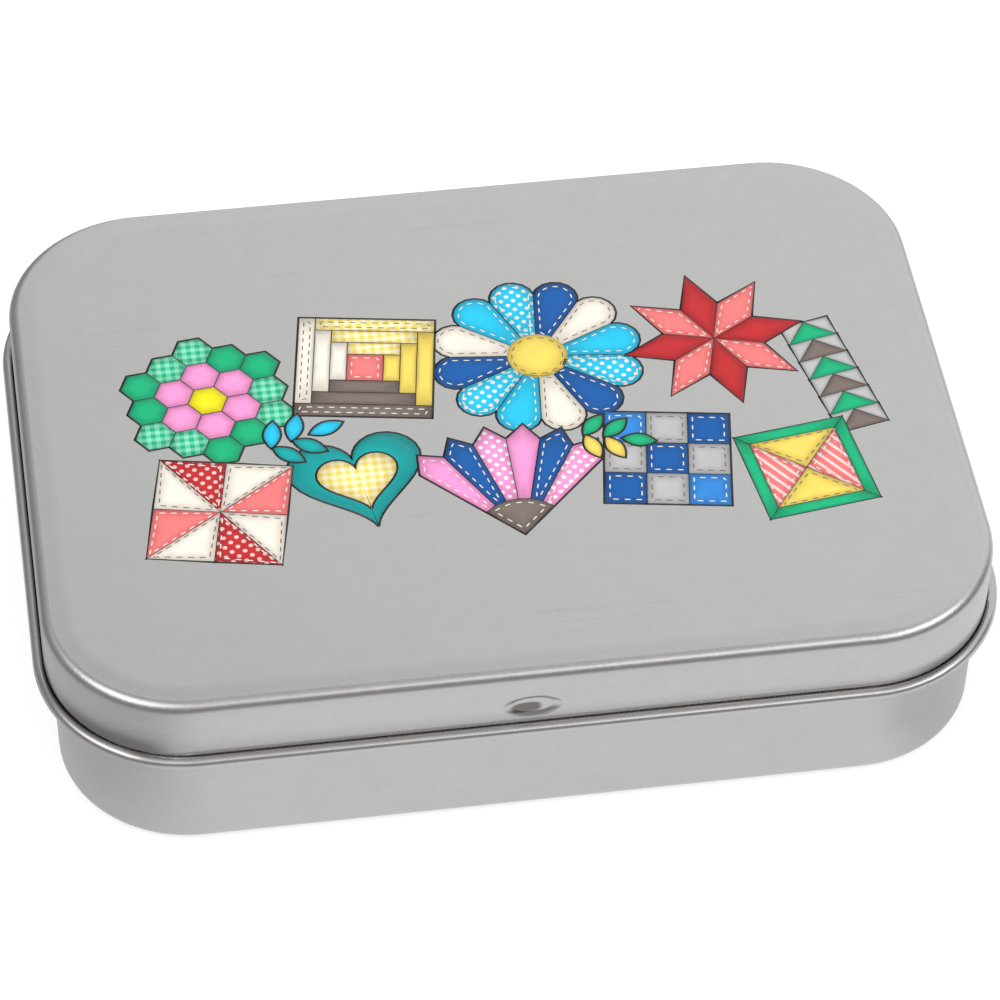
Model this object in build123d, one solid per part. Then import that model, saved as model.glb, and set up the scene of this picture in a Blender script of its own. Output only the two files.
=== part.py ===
"""Pocket storage tin: a drawn tray and a drawn lid of thin tinplate, joined by a rolled hinge.

Units are millimetres. +Z is up, +X is to the right and the front faces -Y. The origin is the middle
of the rectangle that the tin stands on. Sections are drawn as (outward, up), where outward is the
distance out of the sheet's outer face, and each ring repeats its section around a rounded rectangle.
"""

import os
from math import acos, degrees, radians, tan

from build123d import *

# Overall form
TIN_HEIGHT = 24.6
LID_WIDTH = 110.6
LID_DEPTH = 81.1
CORNER_RADIUS = 16.5
SHEET = 0.25

# Lid
LID_HEIGHT = 9.6
SHOULDER_RADIUS = 1.2
BEAD_RADIUS = 0.75
BEAD_END_GAP = 0.12

# Tray
FOOT_RADIUS = 1.5
PANEL_INSET = 4.6
PANEL_RISE = 0.4
PANEL_SLOPE = 45.0
RIM_DROP = 2.7
RIM_RADIUS = 0.75
RIM_END_GAP = 0.25

# Catch in the front walls: a dimple in the lid over a dent in the tray
CATCH_LENGTH = 7.2
CATCH_HEIGHT = 3.2
CATCH_DEPTH = 0.58
CATCH_CLEARANCE = 0.18
CATCH_DROP = 5.5
CATCH_OFFSET = -1.0
CATCH_BLEND = 0.4

# Hinge: two tongues of the tray reach through windows in the lid and wrap its bead
TONGUE_WIDTH = 9.0
TONGUE_SPACING = 60.0
TONGUE_CLEARANCE = 0.08
TONGUE_BEND_RADIUS = 0.25
TONGUE_WRAP = 240.0
NOTCH_RELIEF = 0.3
WINDOW_RELIEF = 0.6
WINDOW_HEADROOM = 0.85

# Places that follow from the sizes above
WALL_GAP = CATCH_DEPTH + CATCH_CLEARANCE
TRAY_INSET = SHEET + WALL_GAP
TRAY_WIDTH = LID_WIDTH - 2 * TRAY_INSET
TRAY_DEPTH = LID_DEPTH - 2 * TRAY_INSET
TRAY_CORNER = CORNER_RADIUS - TRAY_INSET
BEAD_OFFSET = BEAD_RADIUS - SHEET
AXIS_Y = LID_DEPTH / 2 + BEAD_OFFSET
AXIS_Z = TIN_HEIGHT - LID_HEIGHT + BEAD_RADIUS
RIM_TOP = TIN_HEIGHT - RIM_DROP
CATCH_Z = TIN_HEIGHT - CATCH_DROP
TONGUE_INNER = BEAD_RADIUS + TONGUE_CLEARANCE
TONGUE_OUTER = TONGUE_INNER + SHEET
TONGUE_PLACES = (-TONGUE_SPACING / 2, TONGUE_SPACING / 2)
BEND_START = TONGUE_INNER - TONGUE_BEND_RADIUS


def ring(section, width, depth, corner):
    """Carry a section around a rounded rectangle, with the section's first axis pointing outward."""
    path = RectangleRounded(width, depth, corner).face().outer_wire()
    outward = (path % 0).cross(Vector(0, 0, 1))
    start = Plane(origin=path @ 0, x_dir=outward, z_dir=outward.cross(Vector(0, 0, 1)))
    return sweep(start * section, path)


def plate(width, depth, corner, inset, bottom, thickness, slope=0):
    """A flat rounded plate whose outline lies inset from the given one, with sloping sides if asked."""
    outline = RectangleRounded(width - 2 * inset, depth - 2 * inset, corner - inset)
    return Pos(0, 0, bottom) * extrude(outline, amount=thickness, taper=slope)


def lid_section():
    """Shoulder, skirt and the bead that its lower edge is rolled outward into."""
    shoulder = (-SHOULDER_RADIUS, TIN_HEIGHT - SHOULDER_RADIUS)
    bead = (BEAD_OFFSET, AXIS_Z)
    bead_end = degrees(acos((BEAD_END_GAP - BEAD_OFFSET) / BEAD_RADIUS))
    rolled = 180 + bead_end
    outside = CenterArc(shoulder, SHOULDER_RADIUS, 90, -90)
    inside = CenterArc(shoulder, SHOULDER_RADIUS - SHEET, 90, -90)
    hollow = CenterArc(bead, BEAD_RADIUS - SHEET, 180, rolled)
    back = CenterArc(bead, BEAD_RADIUS, 180, rolled)
    joins = [
        Line(outside @ 1, hollow @ 0),
        Line(hollow @ 1, back @ 1),
        Line(back @ 0, inside @ 1),
        Line(inside @ 0, outside @ 0),
    ]
    return make_face([outside, inside, hollow, back] + joins)


def tray_section():
    """Foot, wall and the rim that the wall's upper edge is rolled inward into."""
    foot = (-FOOT_RADIUS, FOOT_RADIUS)
    rim = (-RIM_RADIUS, RIM_TOP - RIM_RADIUS)
    rolled = 360 - degrees(acos((RIM_RADIUS - SHEET - RIM_END_GAP) / RIM_RADIUS))
    outside = CenterArc(foot, FOOT_RADIUS, 270, 90)
    inside = CenterArc(foot, FOOT_RADIUS - SHEET, 270, 90)
    back = CenterArc(rim, RIM_RADIUS, 0, rolled)
    hollow = CenterArc(rim, RIM_RADIUS - SHEET, 0, rolled)
    joins = [
        Line(outside @ 1, back @ 0),
        Line(back @ 1, hollow @ 1),
        Line(hollow @ 0, inside @ 1),
        Line(inside @ 0, outside @ 0),
    ]
    return make_face([outside, inside, back, hollow] + joins)


def tongue_section():
    """The strip that leaves the rear wall, crosses to the bead and wraps it, about the hinge axis."""
    wall_face = -BEAD_RADIUS - WALL_GAP
    bend = (wall_face + TONGUE_BEND_RADIUS, BEND_START)
    under = CenterArc(bend, TONGUE_BEND_RADIUS, 180, -90)
    over = CenterArc(bend, TONGUE_BEND_RADIUS + SHEET, 180, -90)
    inner = CenterArc((0, 0), TONGUE_INNER, 90, -TONGUE_WRAP)
    outer = CenterArc((0, 0), TONGUE_OUTER, 90, -TONGUE_WRAP)
    joins = [
        Line(over @ 0, under @ 0),
        Line(under @ 1, inner @ 0),
        Line(over @ 1, outer @ 0),
        Line(inner @ 1, outer @ 1),
    ]
    return make_face([under, over, inner, outer] + joins)


def catch_barrel(wall_face, growth):
    """A barrel lying in front of a wall face at y, which cuts the catch's oval out of that face."""
    across = ((CATCH_LENGTH / 2) ** 2 + CATCH_DEPTH**2) / (2 * CATCH_DEPTH)
    upright = ((CATCH_HEIGHT / 2) ** 2 + CATCH_DEPTH**2) / (2 * CATCH_DEPTH)
    disc = Pos(0, upright - across) * Circle(across + growth)
    upper_half = Pos(0, across) * Rectangle(4 * across, 2 * across)
    barrel = revolve(disc & upper_half, Axis.X)
    return Pos(CATCH_OFFSET, wall_face + CATCH_DEPTH - upright, CATCH_Z) * barrel


def press_catch(shell, wall_face):
    """Push the catch into a front wall, keeping the sheet's thickness and rounding where it starts."""
    behind = Pos(0, wall_face + SHEET + CATCH_HEIGHT, CATCH_Z)
    room = behind * Box(2 * CATCH_LENGTH, 2 * CATCH_HEIGHT, 2 * CATCH_HEIGHT)
    pressed = shell + (catch_barrel(wall_face, SHEET) & room) - catch_barrel(wall_face, 0)
    for start, radius in ((wall_face + SHEET, CATCH_BLEND), (wall_face, CATCH_BLEND + SHEET)):
        curved = pressed.edges().filter_by(GeomType.BSPLINE)
        rim = curved.filter_by_position(Axis.Y, start - SHEET / 4, start + SHEET / 4)
        pressed = fillet(rim, radius)
    return pressed


def lid():
    """Top plate, shoulder, skirt and bead, with the dimple in front and two windows behind."""
    size = (LID_WIDTH, LID_DEPTH, CORNER_RADIUS)
    shell = ring(lid_section(), *size)
    shell += plate(*size, SHOULDER_RADIUS, TIN_HEIGHT - SHEET, SHEET)
    shell = press_catch(shell, -LID_DEPTH / 2)
    window_height = TONGUE_OUTER + WINDOW_HEADROOM
    through = SHEET + WALL_GAP
    window = Box(
        TONGUE_WIDTH + 2 * WINDOW_RELIEF,
        through,
        window_height,
        align=(Align.CENTER, Align.MAX, Align.MIN),
    )
    for place in TONGUE_PLACES:
        shell -= Pos(place, LID_DEPTH / 2 + BEAD_END_GAP / 2, AXIS_Z) * window
    return shell


def base_tray():
    """Raised bottom panel, foot, wall and rim, with the dent in front and two hinge tongues behind."""
    size = (TRAY_WIDTH, TRAY_DEPTH, TRAY_CORNER)
    shell = ring(tray_section(), *size)
    shell += plate(*size, FOOT_RADIUS, 0, SHEET)
    spread = SHEET * tan(radians(PANEL_SLOPE / 2))
    shell += plate(*size, PANEL_INSET - spread, SHEET, PANEL_RISE, PANEL_SLOPE)
    shell -= plate(*size, PANEL_INSET, 0, PANEL_RISE, PANEL_SLOPE)
    shell = press_catch(shell, -TRAY_DEPTH / 2)
    notch = Box(
        TONGUE_WIDTH + 2 * NOTCH_RELIEF,
        2 * RIM_RADIUS + SHEET,
        RIM_TOP,
        align=(Align.CENTER, Align.MAX, Align.MIN),
    )
    axis_plane = Plane(origin=(-TONGUE_WIDTH / 2, AXIS_Y, AXIS_Z), x_dir=(0, 1, 0), z_dir=(1, 0, 0))
    tongue = extrude(axis_plane * tongue_section(), amount=TONGUE_WIDTH)
    for place in TONGUE_PLACES:
        shell -= Pos(place, TRAY_DEPTH / 2 + SHEET / 2, AXIS_Z + BEND_START) * notch
        shell += Pos(place, 0, 0) * tongue
    return shell


os.makedirs("parts", exist_ok=True)
export_step(base_tray(), "parts/base_tray.step")
export_step(lid(), "parts/lid.step")
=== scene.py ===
import math

import bpy
import numpy as np
from mathutils import Euler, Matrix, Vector


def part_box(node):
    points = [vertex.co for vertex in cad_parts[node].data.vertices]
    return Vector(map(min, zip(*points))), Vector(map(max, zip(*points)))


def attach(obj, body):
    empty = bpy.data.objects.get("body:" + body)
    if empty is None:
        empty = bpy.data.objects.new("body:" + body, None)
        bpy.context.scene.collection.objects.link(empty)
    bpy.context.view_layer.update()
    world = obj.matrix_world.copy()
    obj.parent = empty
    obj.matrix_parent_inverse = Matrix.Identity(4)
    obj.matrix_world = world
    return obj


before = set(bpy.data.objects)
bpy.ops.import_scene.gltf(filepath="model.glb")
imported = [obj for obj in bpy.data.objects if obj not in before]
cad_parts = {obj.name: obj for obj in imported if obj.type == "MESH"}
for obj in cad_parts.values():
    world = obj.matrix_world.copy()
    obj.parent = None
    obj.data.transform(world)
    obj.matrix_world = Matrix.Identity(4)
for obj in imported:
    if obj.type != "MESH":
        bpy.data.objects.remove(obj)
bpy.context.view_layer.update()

# lengths in the dictionaries are millimetres, angles are degrees
mm = 0.001
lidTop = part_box("lid")[1][2]
scene = bpy.context.scene


# The helpers keep the node trees short. Each makes a node or two and links what it is given.
def feed(tree, socket, value):
    if isinstance(value, bpy.types.NodeSocket):
        tree.links.new(value, socket)
    else:
        socket.default_value = value


def calc(tree, operation, first, second=0.0, clamp=False):
    node = tree.nodes.new("ShaderNodeMath")
    node.operation = operation
    node.use_clamp = clamp
    feed(tree, node.inputs[0], first)
    feed(tree, node.inputs[1], second)
    return node.outputs[0]


def product(tree, first, *others):
    for other in others:
        first = calc(tree, "MULTIPLY", first, other)
    return first


def total(tree, first, *others):
    for other in others:
        first = calc(tree, "ADD", first, other)
    return first


# a smooth step from toLow to toHigh, as the value goes from low to high
def remap(tree, value, low, high, toLow=0.0, toHigh=1.0):
    node = tree.nodes.new("ShaderNodeMapRange")
    node.interpolation_type = "SMOOTHSTEP"
    feed(tree, node.inputs["Value"], value)
    feed(tree, node.inputs["From Min"], low)
    feed(tree, node.inputs["From Max"], high)
    feed(tree, node.inputs["To Min"], toLow)
    feed(tree, node.inputs["To Max"], toHigh)
    return node.outputs["Result"]


# the same for a length, whose two edges are millimetres
def ease(tree, length, edges, start=0.0, end=1.0):
    return remap(tree, length, *[edge * mm for edge in edges], start, end)


def measure(tree, operation, first, second):
    node = tree.nodes.new("ShaderNodeVectorMath")
    node.operation = operation
    feed(tree, node.inputs[0], first)
    feed(tree, node.inputs[1], second)
    return node.outputs["Value"]


def axes(tree, vector):
    node = tree.nodes.new("ShaderNodeSeparateXYZ")
    tree.links.new(vector, node.inputs[0])
    return node.outputs


def grey(tree, level):
    node = tree.nodes.new("ShaderNodeCombineXYZ")
    for axis in range(3):
        tree.links.new(level, node.inputs[axis])
    return node.outputs[0]


def blend(tree, amount, first, second, how="MIX"):
    node = tree.nodes.new("ShaderNodeMix")
    node.data_type = "RGBA"
    node.blend_type = how
    feed(tree, node.inputs["Factor"], amount)
    feed(tree, node.inputs[6], first)
    feed(tree, node.inputs[7], second)
    return node.outputs[2]


def mixShaders(tree, amount, first, second):
    node = tree.nodes.new("ShaderNodeMixShader")
    for place, source in enumerate((amount, first, second)):
        tree.links.new(source, node.inputs[place])
    return node.outputs[0]


def noise(tree, vector, size, detail, roughness=0.5):
    # size is the width of a blotch in millimetres
    node = tree.nodes.new("ShaderNodeTexNoise")
    node.inputs["Scale"].default_value = 1 / (size * mm)
    node.inputs["Detail"].default_value = detail
    node.inputs["Roughness"].default_value = roughness
    feed(tree, node.inputs["Vector"], vector)
    return node.outputs["Fac"]


def stretch(tree, vector, scale, turn=0.0):
    node = tree.nodes.new("ShaderNodeMapping")
    feed(tree, node.inputs["Vector"], vector)
    node.inputs["Rotation"].default_value = (0, 0, math.radians(turn))
    node.inputs["Scale"].default_value = scale
    return node.outputs[0]


def newGroup(name, inputs, outputs):
    group = bpy.data.node_groups.new(name, "ShaderNodeTree")
    for socketName, kind in inputs:
        group.interface.new_socket(socketName, in_out="INPUT", socket_type="NodeSocket" + kind)
    for socketName, kind in outputs:
        group.interface.new_socket(socketName, in_out="OUTPUT", socket_type="NodeSocket" + kind)
    start = group.nodes.new("NodeGroupInput")
    end = group.nodes.new("NodeGroupOutput")
    return group, start.outputs, end.inputs


def newMaterial(name):
    material = bpy.data.materials.new(name)
    material.use_nodes = True
    tree = material.node_tree
    where = tree.nodes.new("ShaderNodeTexCoord")
    return material, tree, tree.nodes["Principled BSDF"], where.outputs["Object"]


def placeGroup(tree, group, where, constants):
    node = tree.nodes.new("ShaderNodeGroup")
    node.node_tree = group
    tree.links.new(where, node.inputs["Vector"])
    for socketName, value in constants.items():
        node.inputs[socketName].default_value = value
    return node


def bump(tree, height, principled):
    # heights are metres, so the bump's distance is one
    node = tree.nodes.new("ShaderNodeBump")
    node.inputs["Strength"].default_value = 1.0
    node.inputs["Distance"].default_value = 1.0
    tree.links.new(height, node.inputs["Height"])
    tree.links.new(node.outputs[0], principled.inputs["Normal"])


cameraValues = {
    "place": (-58.99, -356.09, 395.63),
    "turn": (43.110, -1.072, -8.488),
    "lens": 157.06,
    "sensor": 36.0,
    "clip": (10.0, 20000.0),
}


def makeCamera(values):
    data = bpy.data.cameras.new("camera")
    data.lens = values["lens"]
    data.sensor_width = values["sensor"]
    data.clip_start, data.clip_end = [edge * mm for edge in values["clip"]]
    camera = bpy.data.objects.new("camera", data)
    camera.location = Vector(values["place"]) * mm
    camera.rotation_euler = Euler([math.radians(angle) for angle in values["turn"]])
    scene.collection.objects.link(camera)
    scene.camera = camera
    print("camera made")


# azimuth is counted from the front towards the right
lampValues = {
    "leftSoftbox": {"azimuth": -63, "elevation": 54, "distance": 900, "size": (720, 640), "radiance": 1.2},
    "rightSoftbox": {"azimuth": 52, "elevation": 50, "distance": 900, "size": (900, 430), "radiance": 0.9},
    "rightSpot": {"azimuth": 62, "elevation": 43, "distance": 900, "size": (480, 560), "radiance": 0.62},
}


def heading(azimuth, elevation):
    turn, rise = math.radians(azimuth), math.radians(elevation)
    return Vector((math.sin(turn) * math.cos(rise), -math.cos(turn) * math.cos(rise), math.sin(rise)))


def makeLamps(lamps):
    for name, values in lamps.items():
        direction = heading(values["azimuth"], values["elevation"])
        data = bpy.data.lights.new(name, "AREA")
        data.shape = "RECTANGLE"
        data.size, data.size_y = [side * mm for side in values["size"]]
        # a flat lamp's power is its radiance times pi times its area
        data.energy = values["radiance"] * math.pi * data.size * data.size_y
        lamp = bpy.data.objects.new(name, data)
        lamp.location = direction * values["distance"] * mm
        lamp.rotation_euler = direction.to_track_quat("Z", "Y").to_euler()
        scene.collection.objects.link(lamp)
    print("lamps made:", len(lamps))


# The metal mirrors a studio: dark walls above the floor, a lit band higher up, a bright sweep of paper
# behind the tin, and a dark flag hung above the sweep that dulls the near left of the lid. Each of the
# walls is the sine of an elevation and the level there, and the darker it is, the warmer.
worldValues = {
    "flat": 0.85,
    "walls": [
        (0.0, 0.27), (0.25, 0.29), (0.5, 0.33), (0.62, 0.5),
        (0.7, 0.89), (0.78, 0.85), (0.9, 0.57), (1.0, 0.53),
    ],
    "wallTint": (1.0, 0.982, 0.962),
    "warmBelow": 0.8,
    "warmSpan": 0.5,
    "sweep": 0.875,
    "sweepTowards": {"azimuth": 150, "elevation": 0},
    "sweepEdge": (48, 30),
    "sweepTop": (0.68, 0.8),
    "flagAt": {"azimuth": 208, "elevation": 56},
    "flagEdge": (24, 6),
    "flagDepth": 0.39,
}


def makeWorld(values):
    world = bpy.data.worlds.new("studio")
    scene.world = world
    world.use_nodes = True
    tree = world.node_tree
    tree.nodes.clear()
    where = tree.nodes.new("ShaderNodeTexCoord").outputs["Generated"]
    height = axes(tree, where)["Z"]

    def cosines(edges):
        return [math.cos(math.radians(edge)) for edge in edges]

    def background(colour):
        node = tree.nodes.new("ShaderNodeBackground")
        feed(tree, node.inputs["Color"], colour)
        return node.outputs[0]

    walls = tree.nodes.new("ShaderNodeValToRGB")
    stops = walls.color_ramp.elements
    while len(stops) < len(values["walls"]):
        stops.new(1.0)
    for stop, (place, level) in zip(stops, values["walls"]):
        stop.position = place
        warmth = max(0.0, values["warmBelow"] - level) / values["warmSpan"]
        stop.color = (*[level * (1 - warmth * (1 - part)) for part in values["wallTint"]], 1)
    tree.links.new(height, walls.inputs[0])

    # how far the direction's turn agrees with the sweep's, whatever its height
    flatLength = calc(tree, "SQRT", calc(tree, "SUBTRACT", 1.0, calc(tree, "POWER", height, 2.0)))
    towards = measure(tree, "DOT_PRODUCT", where, heading(**values["sweepTowards"]))
    agree = calc(tree, "DIVIDE", towards, calc(tree, "MAXIMUM", flatLength, 0.001))
    sweep = product(tree, remap(tree, agree, *cosines(values["sweepEdge"])),
                    remap(tree, height, *values["sweepTop"], 1.0, 0.0), values["sweep"])
    lit = blend(tree, 1.0, walls.outputs[0], grey(tree, sweep), "LIGHTEN")
    towards = measure(tree, "DOT_PRODUCT", where, heading(**values["flagAt"]))
    shade = remap(tree, towards, *cosines(values["flagEdge"]), 0.0, values["flagDepth"])
    lit = blend(tree, shade, lit, (0, 0, 0, 1))

    # metal mirrors the studio, the camera sees white, and all else is lit by a flat level
    path = tree.nodes.new("ShaderNodeLightPath").outputs
    flat = background((values["flat"], values["flat"], values["flat"], 1))
    mirrored = mixShaders(tree, path["Is Glossy Ray"], flat, background(lit))
    seen = calc(tree, "MAXIMUM", path["Is Camera Ray"], path["Is Transmission Ray"])
    final = mixShaders(tree, seen, mirrored, background((1, 1, 1, 1)))
    tree.links.new(final, tree.nodes.new("ShaderNodeOutputWorld").inputs["Surface"])
    print("world made")


# The metal mirrors the floor as paper that glows, with painted shade on its left, a painted shadow close by
# on its right and painted shade far in front. Each fall runs between two places or two distances.
floorValues = {
    "half": 1500.0,
    "drop": 0.03,
    "colour": (0.6, 0.6, 0.6),
    "roughness": 0.9,
    "specular": 0.1,
    "glowSeen": 0.55,
    "mirrored": 0.9,
    "leftShade": 0.36,
    "leftFall": (-32.0, -62.0),
    "rightShadow": 0.24,
    "rightFall": (41.0, 52.0),
    "rightCorner": (38.8, -24.05),
    "rightRise": (25.0, 31.0),
    "farFrom": (30.0, 40.0),
    "farFall": (108.0, 215.0),
    "farShade": 0.6,
    "share": 0.88,
}


def makeFloor(values):
    mesh = bpy.data.meshes.new("floor")
    half, low = values["half"] * mm, -values["drop"] * mm
    corners = [(-half, -half, low), (half, -half, low), (half, half, low), (-half, half, low)]
    mesh.from_pydata(corners, [], [(0, 1, 2, 3)])
    floor = bpy.data.objects.new("floor", mesh)
    scene.collection.objects.link(floor)
    material, tree, principled, where = newMaterial("paper sweep")
    principled.inputs["Base Color"].default_value = (*values["colour"], 1)
    principled.inputs["Roughness"].default_value = values["roughness"]
    principled.inputs["Specular IOR Level"].default_value = values["specular"]
    principled.inputs["Emission Color"].default_value = (1, 1, 1, 1)
    path = tree.nodes.new("ShaderNodeLightPath").outputs
    glow = product(tree, path["Is Camera Ray"], values["glowSeen"])
    tree.links.new(glow, principled.inputs["Emission Strength"])

    def distance(point):
        return measure(tree, "DISTANCE", where, (*[part * mm for part in point], 0.0))

    across, full = axes(tree, where)["X"], values["mirrored"]
    left = ease(tree, across, values["leftFall"], 1.0, 1 - values["leftShade"])
    right = product(tree, ease(tree, across, values["rightFall"], 0.0, values["rightShadow"]),
                    ease(tree, distance(values["rightCorner"]), values["rightRise"], 1.0, 0.0))
    far = ease(tree, distance(values["farFrom"]), values["farFall"], full, full * (1 - values["farShade"]))
    paper = tree.nodes.new("ShaderNodeEmission")
    # the glow's level carries the painted shade on the left and far off, and the painted shadow by the right
    # corner
    level = product(tree, far, left, calc(tree, "SUBTRACT", 1.0, right))
    tree.links.new(level, paper.inputs["Strength"])
    share = product(tree, path["Is Glossy Ray"], values["share"])
    sheet = mixShaders(tree, share, principled.outputs[0], paper.outputs[0])
    # the camera looks through the floor from beneath
    beneath = tree.nodes.new("ShaderNodeNewGeometry").outputs["Backfacing"]
    clear = tree.nodes.new("ShaderNodeBsdfTransparent").outputs[0]
    oneSided = mixShaders(tree, product(tree, beneath, path["Is Camera Ray"]), sheet, clear)
    tree.links.new(oneSided, tree.nodes["Material Output"].inputs["Surface"])
    mesh.materials.append(material)
    print("floor made")


# A noise is its blotch's size, its detail and, if need be, its roughness. Where there are four numbers, the
# noise from the first to the second becomes the third to the fourth.
sheetValues = {
    "grain": (0.3, 2, 0.6),
    "grainStretch": (0.45, 1, 1),
    "grainShade": (0.2, 0.8, 0.985, 1.015),
    "speckle": (0.13, 1),
    "speckleShare": 0.5,
    "blotch": (3.2, 4, 0.62),
    "blotchShade": (0.25, 0.75, 0.978, 1.022),
    "blotchRough": (0.25, 0.75, -0.012, 0.018),
    "wave": (34.0, 1),
    "scuff": (1.1, 1),
    "scuffStretch": (0.035, 1, 1),
    "scuffTurn": 24,
    "scuffEdge": (0.66, 0.72),
    "scuffArea": (14.0, 2),
    "scuffAreaEdge": (0.5, 0.66),
    "scuffRough": 0.07,
    "shadeAndTarnishPatches": (0.3, 0.7, 0.55, 1.0),
    "shadeAndTarnishRough": 0.12,
}


# Rolled tinplate: fine grain drawn out along the roll, blotches of duller tin, a slow wave that bends
# what it mirrors, scuffs, and a warm, darker band that fades out from the height of a fold, which is partly
# tarnish and partly painted shade in the crease.
def makeSheetGroup(values):
    group, given, out = newGroup(
        "rolled sheet",
        [("Vector", "Vector"), ("Sheet Colour", "Color"), ("Shade And Tarnish Colour", "Color"), ("Fold Height", "Float"),
         ("Fold Reach", "Float"), ("Shade And Tarnish", "Float"), ("Base Roughness", "Float"), ("Grain Depth", "Float"),
         ("Wave Depth", "Float")],
        [("Colour", "Color"), ("Roughness", "Float"), ("Height", "Float")],
    )
    vector = given["Vector"]
    grain = noise(group, stretch(group, vector, values["grainStretch"]), *values["grain"])
    speckle = noise(group, vector, *values["speckle"])
    blotch = noise(group, vector, *values["blotch"])
    wave = noise(group, vector, *values["wave"])
    drawnOut = stretch(group, vector, values["scuffStretch"], values["scuffTurn"])
    scuffs = product(group, remap(group, noise(group, drawnOut, *values["scuff"]), *values["scuffEdge"]),
                     remap(group, noise(group, vector, *values["scuffArea"]), *values["scuffAreaEdge"]))
    # the band of tarnish and painted shade, fading out from the fold's height
    away = calc(group, "ABSOLUTE", calc(group, "SUBTRACT", axes(group, vector)["Z"], given["Fold Height"]))
    fold = remap(group, away, 0.0, given["Fold Reach"], 1.0, 0.0)
    patchy = product(group, fold, remap(group, blotch, *values["shadeAndTarnishPatches"]))
    shadeAndTarnish = calc(group, "MULTIPLY", patchy, given["Shade And Tarnish"], clamp=True)
    shade = product(group, remap(group, blotch, *values["blotchShade"]),
                    remap(group, grain, *values["grainShade"]))
    colour = blend(group, 1.0, given["Sheet Colour"], grey(group, shade), "MULTIPLY")
    colour = blend(group, shadeAndTarnish, colour, given["Shade And Tarnish Colour"])
    rough = total(group, given["Base Roughness"], remap(group, blotch, *values["blotchRough"]),
                  product(group, scuffs, values["scuffRough"]), product(group, shadeAndTarnish, values["shadeAndTarnishRough"]))
    fine = total(group, grain, product(group, speckle, values["speckleShare"]))
    height = total(group, product(group, fine, given["Grain Depth"]), product(group, wave, given["Wave Depth"]))
    height = calc(group, "SUBTRACT", height, product(group, scuffs, given["Grain Depth"]))
    group.links.new(colour, out["Colour"])
    group.links.new(rough, out["Roughness"])
    group.links.new(height, out["Height"])
    return group


# the fold is where the tarnish and painted shade lie: on the lid the crevice above its bead, on the tray its
# wall under the lid's bead
tinValues = {
    "lid": {
        "colour": (0.617, 0.615, 0.61), "shadeAndTarnishColour": (0.36, 0.325, 0.29), "shadeAndTarnish": 0.35,
        "foldHeight": 16.75, "foldReach": 0.7, "roughness": 0.25, "grain": 0.0046, "wave": 0.09,
    },
    "base_tray": {
        "colour": (0.605, 0.603, 0.598), "shadeAndTarnishColour": (0.4, 0.37, 0.34), "shadeAndTarnish": 0.4,
        "foldHeight": 14.9, "foldReach": 0.9, "roughness": 0.27, "grain": 0.0042, "wave": 0.11,
    },
}
# cornerFlare, cornerDark and creviceReach are the left side's and the right's. A place on the front is how
# far across and how high, and an oval's half is its half width and half height. The other pairs are the
# ends of a smooth step.
bendValues = {
    "half": (55.3, 40.55),
    "corner": 16.5,
    "cornerBlend": (0.0, 9.0),
    "sideBlend": (-30.0, 30.0),
    "sag": 0.1,
    "sagReach": (0.0, 3.6),
    "flare": 0.3,
    "cornerFlare": (1.1, 0.75),
    "flareLow": 16.6,
    "flareReach": 4.6,
    # the crevice, corner and bead values set the painted shade above the lid's bead
    "crevice": 16.75,
    "creviceReach": (2.9, 1.9),
    "creviceDark": 0.16,
    "creviceLeast": 0.032,
    "creviceSoft": 0.9,
    "cornerDark": (0.14, 0.44),
    "skirtOnly": (-0.3, -0.1),
    "beadDark": 0.5,
    "beadSide": (-44.0, -54.0),
    "beadReach": (-0.55, -0.1),
    "paintedShadeColour": (0.01, 0.01, 0.01),
    "catchAt": (-1.0, 19.05),
    "catchHalf": (3.5, 1.6),
    "catchDepth": 0.58,
    "catchFloor": 0.3,
    # the painted dark reflection in the dimple's lower half
    "catchReflectionAt": (-1.7, 18.55),
    "catchReflectionHalf": (1.9, 0.7),
    "catchReflectionEdge": (0.3, 1.2),
    "catchReflectionColour": (0.13, 0.113, 0.1),
    "catchReflection": 0.8,
    "bendAbove": (22.4, 23.2),
    "bendInside": (2.2, 0.6),
    "bendRoughness": 0.05,
    "bendNoise": (0.4, 2, 0.6),
    "bendGrain": 0.02,
}


# How deep a point lies inside the lid's rounded rectangle, and how far it lies into a corner. Past the
# corner's centre the depth is its radius less the distance from that centre.
def lidOutline(tree, across, back, values):
    beyond = [calc(tree, "SUBTRACT", calc(tree, "ABSOLUTE", side), (half - values["corner"]) * mm)
              for side, half in zip((across, back), values["half"])]
    squares = [calc(tree, "POWER", calc(tree, "MAXIMUM", side, 0.0), 2.0) for side in beyond]
    outside = calc(tree, "SQRT", total(tree, *squares))
    inside = calc(tree, "MINIMUM", calc(tree, "MAXIMUM", *beyond), 0.0)
    depth = calc(tree, "SUBTRACT", values["corner"] * mm, total(tree, outside, inside))
    return depth, ease(tree, calc(tree, "MINIMUM", *beyond), values["cornerBlend"])


# Painted shade: the crevice between skirt and bead is darkened, most a little above the bead and more at the
# corners, and the bead on the left is darkened too.
def lidPaintedShade(tree, across, up, depth, corner, fromSide, values):
    low = values["crevice"]
    fade = ease(tree, up, (low, low + values["creviceSoft"]), values["creviceLeast"], values["creviceDark"])
    dark = total(tree, fade, product(tree, corner, fromSide(values["cornerDark"])))
    top = product(tree, total(tree, low, fromSide(values["creviceReach"])), mm)
    skirt = product(tree, remap(tree, up, low * mm, top, dark, 0.0), ease(tree, depth, values["skirtOnly"]))
    bead = product(tree, ease(tree, depth, values["beadReach"], 0.0, values["beadDark"]),
                   ease(tree, across, values["beadSide"]), calc(tree, "LESS_THAN", up, low * mm))
    return calc(tree, "MAXIMUM", skirt, bead)
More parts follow.
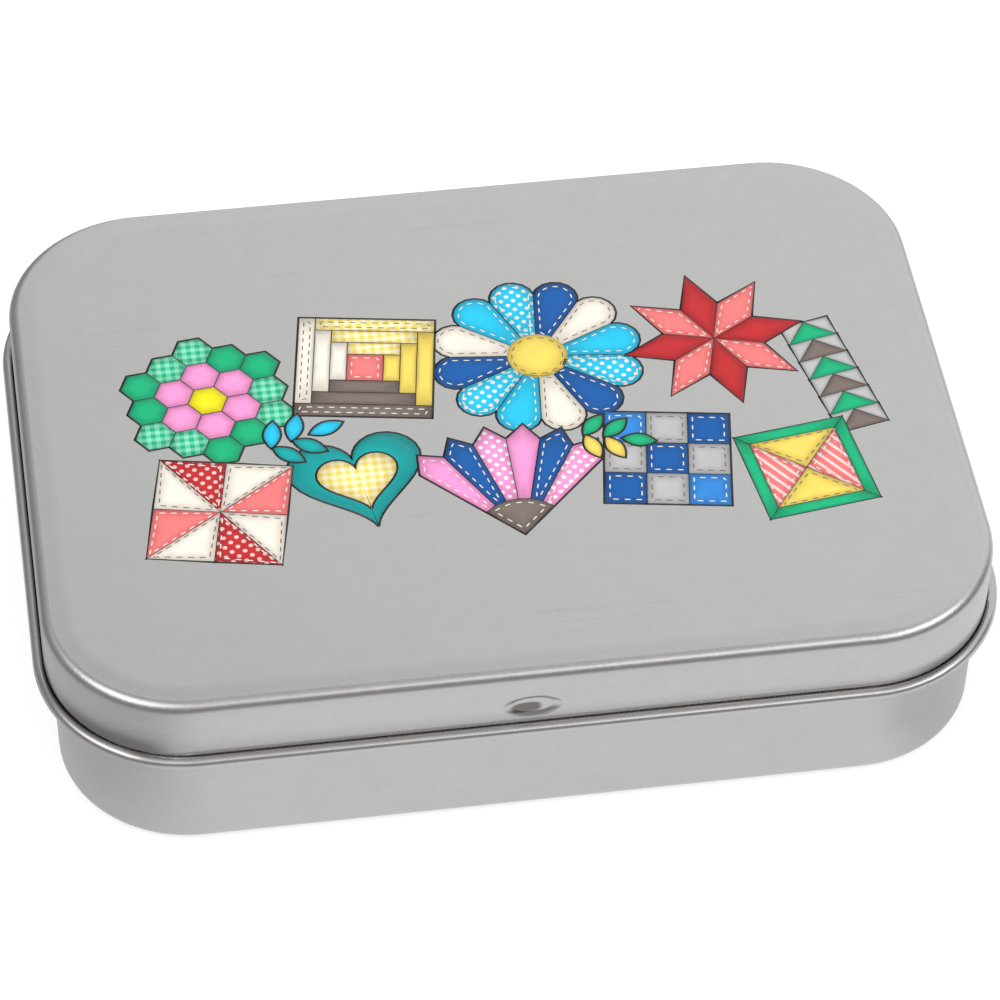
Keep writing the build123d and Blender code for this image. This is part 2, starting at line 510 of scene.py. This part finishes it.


# The dimple's bowl gets a flat floor, and a painted dark reflection over a squarer oval in its lower half. An
# oval is the sum of both distances from its centre, each a share of the half width and raised to a power.
def lidCatch(tree, across, back, up, values):
    def oval(centre, halves, power):
        parts = [calc(tree, "DIVIDE", calc(tree, "SUBTRACT", side, middle * mm), half * mm)
                 for side, middle, half in zip((across, up), centre, halves)]
        return total(tree, *[calc(tree, "POWER", calc(tree, "ABSOLUTE", part), power) for part in parts])

    front = calc(tree, "LESS_THAN", back, 0.0)
    bowl = calc(tree, "SUBTRACT", 1.0, oval(values["catchAt"], values["catchHalf"], 2.0))
    deeper = calc(tree, "SUBTRACT", product(tree, bowl, values["catchDepth"]), values["catchFloor"])
    fill = product(tree, calc(tree, "MAXIMUM", deeper, 0.0), front, mm)
    spot = oval(values["catchReflectionAt"], values["catchReflectionHalf"], 3.0)
    return fill, product(tree, remap(tree, spot, *values["catchReflectionEdge"], values["catchReflection"], 0.0), front)


# The lid's last bends. Its top sinks a little towards the shoulder, by the smooth step of the depth inside
# the outline. The skirt leans out to the bead, by the square of the drop, and more so at the corners. Bent
# tin is grainier than flat tin.
def lidBends(tree, where, values):
    across, back, up = axes(tree, where)
    depth, corner = lidOutline(tree, across, back, values)

    def fromSide(pair):
        return ease(tree, across, values["sideBlend"], *pair)

    sag = ease(tree, depth, values["sagReach"], -values["sag"] * mm, 0.0)
    lean = total(tree, values["flare"], product(tree, corner, fromSide(values["cornerFlare"])))
    rise = calc(tree, "SUBTRACT", up, values["flareLow"] * mm)
    drop = calc(tree, "SUBTRACT", 1.0, calc(tree, "DIVIDE", rise, values["flareReach"] * mm, clamp=True))
    flare = product(tree, calc(tree, "POWER", drop, 2.0), lean, mm)
    # the dimple's floor fill, and its painted dark reflection
    fill, catchReflection = lidCatch(tree, across, back, up, values)
    bent = product(tree, ease(tree, depth, values["bendInside"]), ease(tree, up, values["bendAbove"]))
    grain = product(tree, noise(tree, where, *values["bendNoise"]), values["bendGrain"] * mm, bent)
    # painted shade in the crevice and on the bead's left
    paintedShade = lidPaintedShade(tree, across, up, depth, corner, fromSide, values)
    return total(tree, sag, flare, fill, grain), catchReflection, paintedShade, product(tree, bent, values["bendRoughness"])


def dressNode(node, group, values, bends=None):
    material, tree, principled, where = newMaterial(node + " tinplate")
    sheet = placeGroup(tree, group, where, {
        "Sheet Colour": (*values["colour"], 1),
        "Shade And Tarnish Colour": (*values["shadeAndTarnishColour"], 1),
        "Shade And Tarnish": values["shadeAndTarnish"],
        "Fold Height": values["foldHeight"] * mm,
        "Fold Reach": values["foldReach"] * mm,
        "Base Roughness": values["roughness"],
        "Grain Depth": values["grain"] * mm,
        "Wave Depth": values["wave"] * mm,
    })
    principled.inputs["Metallic"].default_value = 1.0
    colour, rough, height = sheet.outputs
    if bends:
        bend, catchReflection, paintedShade, grainy = lidBends(tree, where, bends)
        height = total(tree, height, bend)
        rough = total(tree, rough, grainy)
        # painted dark reflection in the dimple's lower half
        colour = blend(tree, catchReflection, colour, (*bends["catchReflectionColour"], 1))
        # painted shade in the crevice between skirt and bead
        colour = blend(tree, paintedShade, colour, (*bends["paintedShadeColour"], 1))
    tree.links.new(colour, principled.inputs["Base Color"])
    tree.links.new(rough, principled.inputs["Roughness"])
    bump(tree, height, principled)
    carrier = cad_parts[node]
    carrier.data.materials.clear()
    carrier.data.materials.append(material)
    print("tinplate on", node)


# noises and fours of numbers are as in sheetValues
cottonValues = {
    "dotEdge": (0.35, 0.55),
    "slant": (0.8, 0.6),
    "stripeEdge": (0.3, 0.6),
    "checkEdge": (-0.2, 0.2, 0.0, 0.5),
    "kindReach": 0.3,
    "mottle": (2.2, 3),
    "mottleShade": (0.25, 0.75, 0.955, 1.045),
    "fine": (0.16, 2),
    "fineShade": (0.2, 0.8, 0.98, 1.02),
    "edgeShade": (0.35, 1.0, 1.0, 0.0),
    "edgeBalance": 0.75,
    "relief": (0.7, 0.3),
}


# Printed cotton: plain cloth, dots, stripes or checks in a second colour, by the patch's kind. Dots are the
# product of two sine waves, stripes one slanting wave, and checks the sum of two.
def makeCottonGroup(values):
    group, given, out = newGroup(
        "printed cotton",
        [("Vector", "Vector"), ("First Colour", "Color"), ("Second Colour", "Color"), ("Kind", "Float"),
         ("Edge", "Float"), ("Dot Pitch", "Float"), ("Stripe Pitch", "Float"), ("Shading", "Float")],
        [("Colour", "Color"), ("Height", "Float")],
    )
    vector = given["Vector"]
    across, up, _ = axes(group, vector)

    def ripple(value, pitch):
        return calc(group, "SINE", product(group, calc(group, "DIVIDE", value, pitch), 2 * math.pi))

    dots = product(group, *[ripple(side, given["Dot Pitch"]) for side in (across, up)])
    slant = total(group, *[product(group, side, share) for side, share in zip((across, up), values["slant"])])
    layers = [
        remap(group, dots, *values["dotEdge"]),
        remap(group, ripple(slant, given["Stripe Pitch"]), *values["stripeEdge"]),
        total(group, *[remap(group, ripple(side, given["Stripe Pitch"]), *values["checkEdge"])
                       for side in (across, up)]),
    ]
    parts = []
    for kind, layer in enumerate(layers, 1):
        chosen = group.nodes.new("ShaderNodeMath")
        chosen.operation = "COMPARE"
        group.links.new(given["Kind"], chosen.inputs[0])
        chosen.inputs[1].default_value = kind
        chosen.inputs[2].default_value = values["kindReach"]
        parts.append(product(group, chosen.outputs[0], layer))
    colour = blend(group, total(group, *parts), given["First Colour"], given["Second Colour"])
    mottle = noise(group, vector, *values["mottle"])
    fine = noise(group, vector, *values["fine"])
    inner = calc(group, "SUBTRACT", remap(group, given["Edge"], *values["edgeShade"]), values["edgeBalance"])
    shade = total(group, 1.0, product(group, given["Shading"], inner))
    shade = product(group, shade, remap(group, mottle, *values["mottleShade"]),
                    remap(group, fine, *values["fineShade"]))
    colour = blend(group, 1.0, colour, grey(group, shade), "MULTIPLY")
    height = total(group, *[product(group, part, share)
                            for part, share in zip((mottle, fine), values["relief"])])
    group.links.new(colour, out["Colour"])
    group.links.new(height, out["Height"])
    return group


# gloss and wear turn a noise into roughness and into worn ink
inkValues = {
    "patches": {"gloss": (0.3, 0.7, 0.36, 0.45), "specular": 0.3, "relief": 0.0012,
                "dotPitch": 1.5, "stripePitch": 1.1, "shading": 0.34},
    "lines": {"colour": (0.012, 0.011, 0.011), "wornColour": (0.05, 0.046, 0.044), "rubbed": (0.7, 4, 0.65),
              "wear": (0.5, 0.8), "gloss": (0.3, 0.7, 0.29, 0.44), "relief": 0.0008},
}


def patchInk(group, values):
    material, tree, principled, where = newMaterial("patch ink")
    cotton = placeGroup(tree, group, where, {
        "Dot Pitch": values["dotPitch"] * mm,
        "Stripe Pitch": values["stripePitch"] * mm,
        "Shading": values["shading"],
    })
    for attribute, socket, output in (("first", "First Colour", "Color"), ("second", "Second Colour", "Color"),
                                      ("kind", "Kind", "Fac"), ("edge", "Edge", "Fac")):
        read = tree.nodes.new("ShaderNodeAttribute")
        read.attribute_name = attribute
        tree.links.new(read.outputs[output], cotton.inputs[socket])
    height = cotton.outputs["Height"]
    tree.links.new(cotton.outputs["Colour"], principled.inputs["Base Color"])
    tree.links.new(remap(tree, height, *values["gloss"]), principled.inputs["Roughness"])
    principled.inputs["Specular IOR Level"].default_value = values["specular"]
    bump(tree, product(tree, height, values["relief"] * mm), principled)
    return material


def lineInk(values):
    material, tree, principled, where = newMaterial("line ink")
    rubbed = noise(tree, where, *values["rubbed"])
    worn = remap(tree, rubbed, *values["wear"])
    colour = blend(tree, worn, (*values["colour"], 1), (*values["wornColour"], 1))
    tree.links.new(colour, principled.inputs["Base Color"])
    tree.links.new(remap(tree, rubbed, *values["gloss"]), principled.inputs["Roughness"])
    bump(tree, product(tree, rubbed, values["relief"] * mm), principled)
    return material


def ink(code):
    # turns a web colour into the linear values that a shader wants
    levels = np.array([int(code[at:at + 2], 16) for at in (0, 2, 4)]) / 255
    return tuple(np.where(levels > 0.04045, ((levels + 0.055) / 1.055) ** 2.4, levels / 12.92))


# first colour, second colour and kind: 0 plain, 1 dots, 2 stripes, 3 checks
fabrics = {
    "sky": ("1FC3EA", "8FE3F6", 0), "skyDot": ("1FC3EA", "F3EBDD", 1),
    "navy": ("0B5AA5", "2E86D6", 0), "blue": ("2E86D6", "A5CEF2", 0),
    "lemon": ("F5D862", "FBEFB0", 0), "lemonCheck": ("F5D862", "FFF6CC", 3),
    "red": ("C0282D", "E8676B", 0), "redDot": ("C0282D", "F6C9C4", 1),
    "coral": ("F47C7C", "FAB3AE", 0), "coralStripe": ("F47C7C", "FCD6D2", 2),
    "green": ("0DB27A", "6AD8B0", 0), "greenCheck": ("0DB27A", "8BE3C3", 3),
    "pink": ("F89AD2", "FCD0EA", 0), "pinkDot": ("F89AD2", "FFFFFF", 1),
    "teal": ("00A7A7", "63D2D0", 0), "cream": ("F3EBDD", "E3D6BF", 0),
    "stone": ("B9B9B9", "D8D8D8", 0), "umber": ("7C6F68", "9C8F88", 0),
    "sun": ("F7E60E", "FBF3A0", 0),
}


# how many points lie along each curve of an outline
curvePoints = {"petalCap": 9, "button": 28, "fanCorner": 10, "heart": 48, "leaf": 11}


def patch(outline, fabric):
    return {"outline": np.asarray(outline, float), "fabric": fabric}


def inTurn(choices, place):
    return choices[place % len(choices)]


def polar(radius, degrees):
    angle = np.radians(degrees)
    return np.stack([radius * np.cos(angle), radius * np.sin(angle)], -1)


def turned(points, degrees):
    angle = math.radians(degrees)
    return points @ np.array([[math.cos(angle), math.sin(angle)], [-math.sin(angle), math.cos(angle)]])


def rectangle(left, right, low, high):
    return [(left, low), (right, low), (right, high), (left, high)]


def regular(sides, radius, turn=0.0):
    # corners evenly round a circle
    return polar(radius, turn + np.arange(sides) * 360 / sides)


# Round petals: straight sides fanning out from the hub, closed by a half circle between their ends
def dresdenPlate(values):
    step = 360 / values["blades"]
    shoulder = values["radius"] * values["shoulder"]
    cap = shoulder * math.sin(math.radians(step / 2))
    capCentre = shoulder * math.cos(math.radians(step / 2))
    swing = np.linspace(-90, 90, curvePoints["petalCap"])
    patches = []
    for blade in range(values["blades"]):
        middle = blade * step
        outline = np.concatenate([
            polar(values["hub"], [middle - step / 2]),
            polar(capCentre, [middle]) + polar(cap, middle + swing),
            polar(values["hub"], [middle + step / 2]),
        ])
        patches.append(patch(outline, inTurn(values["fabrics"], blade)))
    patches.append(patch(regular(curvePoints["button"], values["button"]), values["middle"]))
    return patches


# Diamonds: two steps of one length, to both sides of each point's direction
def diamondStar(values):
    step = 360 / values["points"]
    side = values["radius"] / (2 * math.cos(math.radians(step / 2)))
    patches = []
    for point in range(values["points"]):
        first, second = polar(side, point * step + np.array([-step / 2, step / 2]))
        patches.append(patch([(0, 0), first, first + second, second], inTurn(values["fabrics"], point)))
    return patches


# Triangles: each quarter of a square is cut from the middle to its corner, and the quarters turn by 90
def pinwheel(values):
    half = values["size"] / 2
    patches = []
    for quarter in range(4):
        near = turned(np.array([(0, 0), (half, 0), (half, half)]), quarter * 90)
        far = turned(np.array([(0, 0), (half, half), (0, half)]), quarter * 90)
        patches += [patch(near, inTurn(values["fabrics"], quarter)), patch(far, values["ground"])]
    return patches


# Hexagons on rings: a ring's places are the six corners of a larger hexagon and the points between them
def hexagonFlower(values):
    side = values["side"]
    inner = regular(6, side * math.sqrt(3), 30)
    outer = np.concatenate([inner * 2, inner + np.roll(inner, -1, 0)])
    spots = [(np.zeros(2), values["middle"])]
    spots += [(spot, values["petals"]) for spot in inner]
    spots += [(spot, inTurn(values["leaves"], place)) for place, spot in enumerate(outer)]
    return [patch(regular(6, side) + spot, fabric) for spot, fabric in spots]


# Blades over a quarter turn, each from the hub to its shoulders and on to a point between them
def fan(values):
    step = 90 / values["blades"]
    shoulder = values["radius"] * values["shoulder"]
    radii = np.array([values["hub"], shoulder, values["radius"], shoulder, values["hub"]])
    turns = np.array([0, 0, 0.5, 1, 1])
    patches = [patch(polar(radii, (blade + turns) * step), inTurn(values["fabrics"], blade))
               for blade in range(values["blades"])]
    swing = np.linspace(0, 90, curvePoints["fanCorner"])
    corner = np.concatenate([np.zeros((1, 2)), polar(values["hub"], swing)])
    return patches + [patch(corner, values["middle"])]


# Squares: three rows of three
def ninePatch(values):
    cell = values["size"] / 3
    patches = []
    for place in range(9):
        left = (place % 3 - 1.5) * cell
        low = (place // 3 - 1.5) * cell
        patches.append(patch(rectangle(left, left + cell, low, low + cell), inTurn(values["fabrics"], place)))
    return patches


# Logs: each lies along one side of what is there already, turning to the next side
def logCabin(values):
    half, width = values["core"] / 2, values["log"]
    left, right, low, high = -half, half, -half, half
    patches = [patch(rectangle(left, right, low, high), values["middle"])]
    for log in range(values["logs"]):
        if log % 4 == 0:
            outline = rectangle(right, right + width, low, high)
            right += width
        elif log % 4 == 1:
            outline = rectangle(left, right, high, high + width)
            high += width
        elif log % 4 == 2:
            outline = rectangle(left - width, left, low, high)
            left -= width
        else:
            outline = rectangle(left, right, low - width, low)
            low -= width
        patches.append(patch(outline, inTurn(values["fabrics"], log)))
    return patches


# Four triangles meet in a square's middle, and a mitred strip lies along each of its sides
def hourglass(values):
    half = values["size"] / 2
    rim = half + values["border"]
    corners = np.array(rectangle(-half, half, -half, half))
    outside = np.array(rectangle(-rim, rim, -rim, rim))
    patches = []
    for side in range(4):
        after = (side + 1) % 4
        patches.append(patch([(0, 0), corners[side], corners[after]], inTurn(values["fabrics"], side)))
        strip = [outside[side], outside[after], corners[after], corners[side]]
        patches.append(patch(strip, values["frame"]))
    return patches


# Each goose is a triangle as high as half its width, with the ground's triangles in its upper corners
def geese(values):
    half = values["width"] / 2
    patches = []
    for goose in range(values["count"]):
        low = (goose - values["count"] / 2) * half
        high = low + half
        patches.append(patch([(-half, low), (half, low), (0, high)], inTurn(values["fabrics"], goose)))
        patches.append(patch([(-half, low), (0, high), (-half, high)], values["ground"]))
        patches.append(patch([(half, low), (half, high), (0, high)], values["ground"]))
    return patches


# Heart: sixteen times the cubed sine across, and a sum of cosines of one to four turns upward
def heart(values):
    turn = np.linspace(0, 2 * np.pi, curvePoints["heart"], endpoint=False)
    across = 16 * np.sin(turn) ** 3
    up = 13 * np.cos(turn) - 5 * np.cos(2 * turn) - 2 * np.cos(3 * turn) - np.cos(4 * turn)
    middleUp = -2.5
    outline = np.stack([-across, up - middleUp], -1) * values["width"] / 32
    return [patch(outline, values["fabric"])]


# Leaf: two bows between its ends, each as high as a power of the sine of the way along
def sprig(values):
    way = np.linspace(0, 1, curvePoints["leaf"])
    bow = np.sin(np.pi * way) ** values["slimness"] * values["leafWidth"] / 2
    under = np.stack([way * values["leaf"], -bow], -1)
    over = np.stack([way * values["leaf"], bow], -1)
    leaf = np.concatenate([under, over[-2:0:-1]])
    return [patch(turned(leaf, turn) + (start, 0), inTurn(values["fabrics"], place))
            for place, (start, turn) in enumerate(values["leaves"])]


# a patch is stitched round if it is wider and higher than the motif's stitchedFrom
motifs = [
    {"make": hexagonFlower, "centre": (-33.2, 6.8), "turn": 7, "layer": 0, "side": 2.42, "middle": "sun",
     "petals": "pink", "leaves": ["green", "greenCheck"], "stitchedFrom": 9.0},
    {"make": logCabin, "centre": (-14.0, 9.9), "turn": -9, "layer": 1, "core": 4.4, "log": 2.0, "logs": 12,
     "fabrics": ["lemon", "lemonCheck", "cream", "umber"], "middle": "coral", "stitchedFrom": 4.0},
    {"make": dresdenPlate, "centre": (6.8, 9.2), "turn": 9, "layer": 0, "radius": 12.2, "shoulder": 0.86,
     "hub": 3.3, "button": 3.696, "blades": 12, "fabrics": ["sky", "cream", "navy", "skyDot"],
     "middle": "lemon", "stitchedFrom": 4.6},
    {"make": diamondStar, "centre": (28.4, 9.4), "turn": 8, "layer": 1, "radius": 11.2, "points": 8,
     "fabrics": ["red", "coral"], "stitchedFrom": 5.0},
    {"make": geese, "centre": (41.6, 1.6), "turn": 12, "layer": 0, "width": 6.2, "count": 6,
     "fabrics": ["umber", "green"], "ground": "stone", "stitchedFrom": 9.0},
    {"make": pinwheel, "centre": (-33.6, -11.4), "turn": -11, "layer": 1, "size": 15.6,
     "fabrics": ["coral", "redDot"], "ground": "cream", "stitchedFrom": 5.0},
    {"make": heart, "centre": (-16.8, -8.9), "turn": 9, "layer": 0, "width": 16.0, "fabric": "teal",
     "stitchedFrom": 99.0},
    {"make": heart, "centre": (-16.8, -8.9), "turn": 9, "layer": 1, "width": 9.6, "fabric": "lemonCheck",
     "stitchedFrom": 9.0},
    {"make": fan, "centre": (1.0, -19.4), "turn": 45, "layer": 1, "radius": 17.6, "shoulder": 0.87,
     "hub": 5.6, "blades": 6, "fabrics": ["pinkDot", "navy", "pink"], "middle": "umber",
     "stitchedFrom": 4.6},
    {"make": ninePatch, "centre": (19.4, -9.6), "turn": -9, "layer": 0, "size": 14.8,
     "fabrics": ["navy", "stone", "blue", "stone"], "stitchedFrom": 4.0},
    {"make": hourglass, "centre": (35.4, -13.2), "turn": 8, "layer": 1, "size": 10.6, "border": 1.5,
     "fabrics": ["lemon", "coralStripe"], "frame": "green", "stitchedFrom": 5.0},
    {"make": sprig, "centre": (-26.6, -2.0), "turn": 20, "layer": 2, "leaf": 4.4, "leafWidth": 2.0,
     "slimness": 0.85, "leaves": [(0.0, 62), (0.2, -58), (2.6, 54), (2.8, -50), (5.0, 0)],
     "fabrics": ["sky", "teal"], "stitchedFrom": 9.0},
    {"make": sprig, "centre": (10.2, -4.6), "turn": -14, "layer": 2, "leaf": 4.0, "leafWidth": 1.9,
     "slimness": 0.85, "leaves": [(0.0, 62), (0.2, -58), (2.4, 54), (2.6, -50), (4.6, 0)],
     "fabrics": ["green", "lemon"], "stitchedFrom": 9.0},
]
# Heights are over the lid's top. The levels keep the faces of two shapes from lying in one plane.
printValues = {
    "middle": (0.3, 0.2),
    "outerLine": 0.22,
    "innerLine": 0.055,
    "sink": 0.01,
    "lineTop": 0.002,
    "inkTop": 0.004,
    "stitchTop": 0.006,
    "layerStep": 0.006,
    "patchLevel": 0.00001,
    "stitchLevel": 0.0000005,
    "stitch": {"length": 0.75, "gap": 0.55, "width": 0.15},
    "stitchInset": 0.6,
    "paleFabrics": ("cream", "lemon", "stone", "sun"),
    "threadOnPale": "umber",
    "thread": "cream",
    "cakeRings": (0.45, 0.8, 1.0, 1.0),
}


# every corner moves along the mean of its two edges' outward directions, so that both edges shift equally
def grown(outline, distance):
    edge = np.roll(outline, -1, 0) - outline
    edge /= np.linalg.norm(edge, axis=1, keepdims=True)
    outward = np.stack([edge[:, 1], -edge[:, 0]], -1)
    before = np.roll(outward, 1, 0)
    sharpest = 0.6
    reach = np.maximum(1 + np.sum(before * outward, 1, keepdims=True), sharpest)
    return outline + distance * (before + outward) / reach


def layOut(rows, values):
    patches = []
    for row in rows:
        for item in row["make"](row):
            outline = turned(item["outline"], row["turn"]) + row["centre"] + values["middle"]
            patches.append({**row, **item, "outline": outline})
    return patches


# A patch is a flat cake: its outline drawn in towards the middle on top, at full size round the edge
# and below, with one point in the middle of each face.
def cake(outline, low, high, shares):
    count, rings = len(outline), len(shares)
    shares = np.array(shares)
    middle = outline.mean(0)
    flat = middle + shares[:, None, None] * (outline - middle)
    heights = np.array([high] * (rings - 1) + [low])
    points = np.concatenate([flat, np.broadcast_to(heights[:, None, None], (rings, count, 1))], 2)
    points = np.concatenate([points.reshape(-1, 3), [(*middle, high), (*middle, low)]])
    here = np.arange(count)
    after = np.roll(here, -1)
    row = np.arange(rings - 1)[:, None] * count
    quads = np.stack([row + here, row + count + here, row + count + after, row + after], -1).reshape(-1, 4)
    last = (rings - 1) * count
    top = np.stack([np.full(count, rings * count), here, after], -1)
    bottom = np.stack([np.full(count, rings * count + 1), last + after, last + here], -1)
    edge = np.concatenate([np.repeat(shares, count), [0.0, 0.0]])
    return points, quads, np.concatenate([top, bottom]), edge


def makeMesh(name, points, quads, triangles):
    mesh = bpy.data.meshes.new(name)
    corners = np.concatenate([quads.ravel(), triangles.ravel()])
    sizes = np.concatenate([np.full(len(quads), 4), np.full(len(triangles), 3)])
    mesh.vertices.add(len(points))
    mesh.vertices.foreach_set("co", (points * mm).astype(np.float32).ravel())
    mesh.loops.add(len(corners))
    mesh.loops.foreach_set("vertex_index", corners.astype(np.int32))
    mesh.polygons.add(len(sizes))
    mesh.polygons.foreach_set("loop_start", (np.cumsum(sizes) - sizes).astype(np.int32))
    mesh.update(calc_edges=True)
    mesh.validate()
    return mesh


# each look is a fabric's two colours and kind, spread over the points of one cake
def addLooks(mesh, cakes, looks):
    sizes = [len(points) for points, _, _, _ in cakes]
    for column, attribute in enumerate(("first", "second")):
        colours = np.repeat(np.array([(*ink(look[column]), 1.0) for look in looks]), sizes, 0)
        layer = mesh.attributes.new(attribute, "FLOAT_COLOR", "POINT")
        layer.data.foreach_set("color", colours.astype(np.float32).ravel())
    kinds = np.repeat([float(kind) for _, _, kind in looks], sizes)
    edges = np.concatenate([edge for _, _, _, edge in cakes])
    for attribute, numbers in (("kind", kinds), ("edge", edges)):
        layer = mesh.attributes.new(attribute, "FLOAT", "POINT")
        layer.data.foreach_set("value", numbers.astype(np.float32))


def inkPiece(name, cakes, material, looks=None):
    # the cakes' arrays are laid end to end, each cake's numbering shifted by the points before it
    starts = np.cumsum([0] + [len(item[0]) for item in cakes])[:-1]
    points = np.concatenate([item[0] for item in cakes])
    points[:, 2] += lidTop / mm
    quads = np.concatenate([item[1] + start for item, start in zip(cakes, starts)])
    triangles = np.concatenate([item[2] + start for item, start in zip(cakes, starts)])
    mesh = makeMesh(name, points, quads, triangles)
    if looks:
        addLooks(mesh, cakes, looks)
    mesh.materials.append(material)
    piece = bpy.data.objects.new(name, mesh)
    scene.collection.objects.link(piece)
    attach(piece, "lid")
    print(name, "made of", len(cakes), "shapes")


# Running stitches: dashes at even steps along a closed line, each a short bar with round ends
def stitchesAlong(path, values):
    loop = np.concatenate([path, path[:1]])
    steps = np.linalg.norm(np.diff(loop, axis=0), axis=1)
    travelled = np.concatenate([[0], np.cumsum(steps)])
    count = int(travelled[-1] / (values["length"] + values["gap"]))
    middles = (np.arange(count) + 0.5) * travelled[-1] / count
    half, radius = (values["length"] - values["width"]) / 2, values["width"] / 2
    ends = np.stack([
        np.stack([np.interp(middles + side * half, travelled, loop[:, axis]) for axis in (0, 1)], -1)
        for side in (-1, 1)
    ])
    direction = ends[1] - ends[0]
    direction /= np.linalg.norm(direction, axis=1, keepdims=True)
    normal = np.stack([-direction[:, 1], direction[:, 0]], -1)
    bulges = [radius * (math.cos(angle) * direction + math.sin(angle) * normal)
              for angle in np.radians([-90, -30, 30, 90])]
    front = [ends[1] + bulge for bulge in bulges]
    back = [ends[0] - bulge for bulge in bulges]
    return list(np.stack(front + back, 1))


def makePrint(rows, values):
    patches = layOut(rows, values)
    lifts = [item["layer"] * values["layerStep"] for item in patches]

    def cakes(outlines, top, risen, level):
        return [cake(outline, -values["sink"], top + lift + place * level, values["cakeRings"])
                for place, (outline, lift) in enumerate(zip(outlines, risen))]

    level = values["patchLevel"]
    lined = [grown(item["outline"], values["outerLine"]) for item in patches]
    inkPiece("printLines", cakes(lined, values["lineTop"], lifts, level), lineInk(inkValues["lines"]))
    coloured = [grown(item["outline"], -values["innerLine"]) for item in patches]
    looks = [fabrics[item["fabric"]] for item in patches]
    cotton = patchInk(makeCottonGroup(cottonValues), inkValues["patches"])
    inkPiece("printPatches", cakes(coloured, values["inkTop"], lifts, level), cotton, looks)
    dashes, dashLifts, threads = [], [], []
    for item, lift in zip(patches, lifts):
        if np.ptp(item["outline"], axis=0).min() > item["stitchedFrom"]:
            found = stitchesAlong(grown(item["outline"], -values["stitchInset"]), values["stitch"])
            pale = item["fabric"].startswith(values["paleFabrics"])
            dashes += found
            dashLifts += [lift] * len(found)
            threads += [fabrics[values["threadOnPale" if pale else "thread"]]] * len(found)
    stitched = cakes(dashes, values["stitchTop"], dashLifts, values["stitchLevel"])
    inkPiece("printStitches", stitched, cotton, threads)


scene.view_settings.view_transform = "Standard"
makeCamera(cameraValues)
makeLamps(lampValues)
makeWorld(worldValues)
makeFloor(floorValues)
sheetGroup = makeSheetGroup(sheetValues)
dressNode("base_tray", sheetGroup, tinValues["base_tray"])
dressNode("lid", sheetGroup, tinValues["lid"], bendValues)
makePrint(motifs, printValues)
